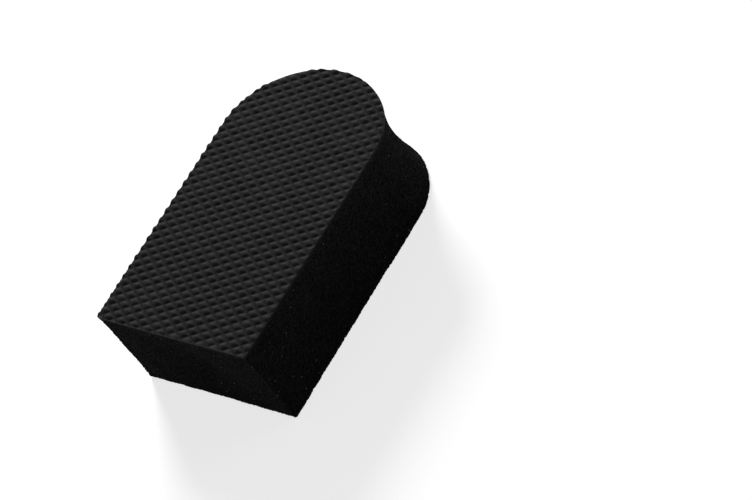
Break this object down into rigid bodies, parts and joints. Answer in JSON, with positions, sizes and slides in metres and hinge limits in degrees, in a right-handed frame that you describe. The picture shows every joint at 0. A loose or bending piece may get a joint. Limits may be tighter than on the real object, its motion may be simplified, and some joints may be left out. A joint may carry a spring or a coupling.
{
  "type": "clay sponge",
  "caption": "D-shaped hand sponge for cleaning car paint: a black foam block with a diamond-patterned clay rubber sheet bonded to one face.",
  "frame": {"origin": "middle of the footprint, on the plain foam back face that the block rests on", "axes": "+Z out of the clay face, +Y along the length towards the rounded end, +X across the width"},
  "size_m": [0.065, 0.106, 0.035],
  "materials": {
    "open_cell_foam": "black open-cell polyurethane foam, matte, fine pores",
    "adhesive_film": "smoke-grey double-sided adhesive film, cut edge only",
    "clay_rubber": "charcoal clay-filled rubber, matte with a faint waxy sheen"
  },
  "bodies": {
    "root": {"foam_body": "open_cell_foam", "bond_film": "adhesive_film", "clay_face": "clay_rubber"}
  },
  "joints": []
}
